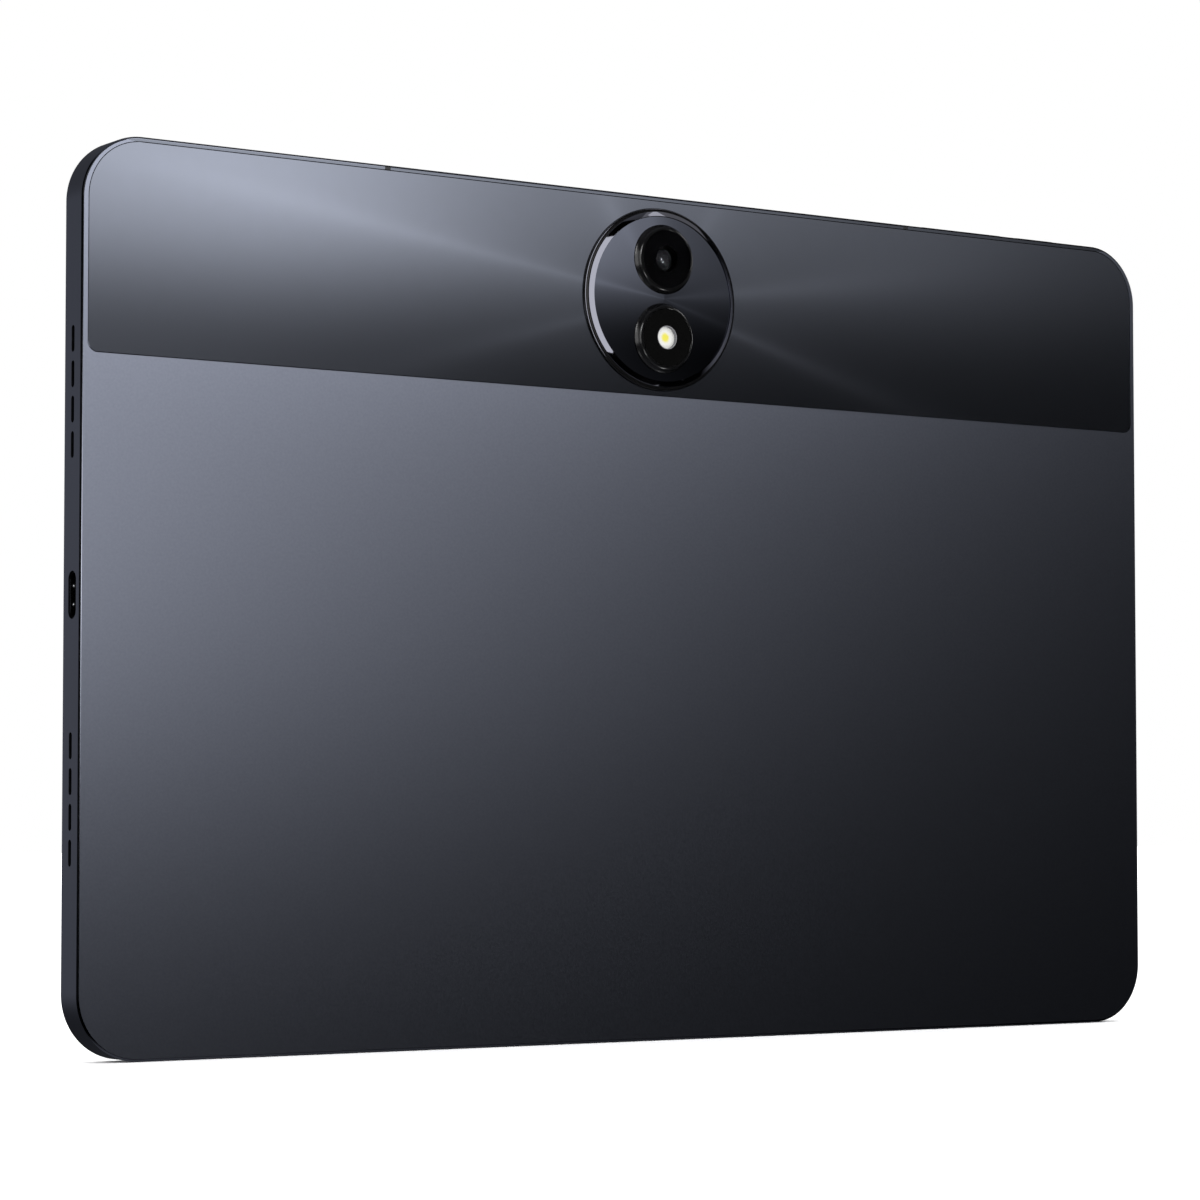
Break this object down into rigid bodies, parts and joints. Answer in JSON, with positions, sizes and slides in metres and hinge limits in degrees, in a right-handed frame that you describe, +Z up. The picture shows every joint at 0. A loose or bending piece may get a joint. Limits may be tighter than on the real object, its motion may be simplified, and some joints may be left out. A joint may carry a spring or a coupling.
{
  "type": "tablet computer",
  "caption": "Thin slab tablet with a metal shell, a glossy band and round camera disc across the rear, edge keys, a card tray, a charging port and a full glass front.",
  "frame": {"origin": "centre of the long bottom edge face, at mid-thickness, so that the tablet stands on that edge", "axes": "+X along the long edge towards the wall with the charging port, +Y out of the rear face, +Z up to the camera edge"},
  "size_m": [0.264, 0.0102, 0.1751],
  "materials": {
    "anodised_aluminium": "fine blasted and anodised, slate grey",
    "key_aluminium": "anodised, satin",
    "split_plastic": "moulded, satin",
    "black_plastic": "moulded, matt",
    "band_gloss": "hard glossy film with a fine radial sunburst behind it",
    "disc_gloss": "glossy, with the same radial sunburst",
    "ring_aluminium": "turned, with a polished bevel",
    "black_metal": "smooth gloss black",
    "window_glass": "black-printed cover window",
    "diffuser": "clear, with a fine lens pattern",
    "led_phosphor": "yellow phosphor",
    "flex_circuit": "amber polyimide film",
    "module_metal": "black nickel",
    "lens_plastic": "moulded black",
    "circuit_board": "green solder mask",
    "screen_glass": "polished, black border print",
    "panel_glass": "polarised display cell",
    "backlight_sheet": "white reflector and light guide",
    "adhesive": "foam tape",
    "sheet_steel": "pressed sheet",
    "battery_pouch": "laminated foil pouch",
    "chip_epoxy": "moulded epoxy",
    "graphite": "pressed graphite",
    "connector_plastic": "moulded black",
    "connector_steel": "drawn shell, satin nickel",
    "speaker_plastic": "moulded, matt",
    "acoustic_mesh": "fine woven mesh",
    "gilded_can": "plated can",
    "cable_jacket": "smooth jacket",
    "screw_steel": "zinc plated"
  },
  "bodies": {
    "tablet": {"rear_housing": "anodised_aluminium", "antenna_rim": "anodised_aluminium", "antenna_splits": "split_plastic", "band_carrier": "black_plastic", "camera_band": "band_gloss", "camera_ring": "ring_aluminium", "camera_plate": "disc_gloss", "camera_bezel": "black_metal", "flash_bezel": "black_metal", "camera_window": "window_glass", "flash_window": "window_glass", "flash_lens": "diffuser", "flash_led": "led_phosphor", "flash_board": "flex_circuit", "camera_module": "module_metal", "image_sensor": "circuit_board", "camera_flex": "flex_circuit", "cover_glass": "screen_glass", "glass_gasket": "black_plastic", "display_adhesive": "adhesive", "display_panel": "panel_glass", "backlight_unit": "backlight_sheet", "display_flex": "flex_circuit", "support_plate": "sheet_steel", "battery_cell_left": "battery_pouch", "battery_cell_right": "battery_pouch", "battery_adhesive": "adhesive", "battery_board": "circuit_board", "battery_flex": "flex_circuit", "main_board": "circuit_board", "processor": "chip_epoxy", "memory_chips": "chip_epoxy", "shield_can": "sheet_steel", "graphite_sheet": "graphite", "board_connectors": "connector_plastic", "usb_board": "circuit_board", "usb_receptacle": "connector_steel", "usb_tongue": "connector_plastic", "side_flex": "flex_circuit", "speaker_upper_left": "speaker_plastic", "speaker_lower_left": "speaker_plastic", "speaker_upper_right": "speaker_plastic", "speaker_lower_right": "speaker_plastic", "speaker_meshes": "acoustic_mesh", "front_camera": "lens_plastic", "light_sensor": "chip_epoxy", "microphones": "gilded_can", "wifi_antenna_left": "gilded_can", "wifi_antenna_right": "gilded_can", "coax_cables": "cable_jacket", "key_bracket": "sheet_steel", "key_switches": "sheet_steel", "key_flex": "flex_circuit", "card_reader": "sheet_steel", "screws": "screw_steel"},
    "power_button": {"power_button": "key_aluminium"},
    "volume_rocker": {"volume_rocker": "key_aluminium"},
    "focus_lens": {"lens_barrel": "lens_plastic"},
    "card_tray": {"card_tray": "anodised_aluminium", "memory_card": "chip_epoxy"}
  },
  "joints": [
    {"name": "power_button_press", "type": "slide", "parent": "tablet", "child": "power_button", "axis": [0, 0, -1], "range_m": [0, 0.0003], "stiffness_N_per_m": 1500},
    {"name": "volume_rocker_tilt", "type": "hinge", "parent": "tablet", "child": "volume_rocker", "pos_m": [-0.0832, 0.0002, 0.17], "axis": [0, 1, 0], "range_deg": [-1.5, 1.5], "stiffness_Nm_per_rad": 0.5},
    {"name": "lens_focus", "type": "slide", "parent": "tablet", "child": "focus_lens", "axis": [0, 1, 0], "range_m": [0, 0.0003], "stiffness_N_per_m": 20},
    {"name": "card_tray_slide", "type": "slide", "parent": "tablet", "child": "card_tray", "axis": [-1, 0, 0], "range_m": [0, 0.018]}
  ]
}
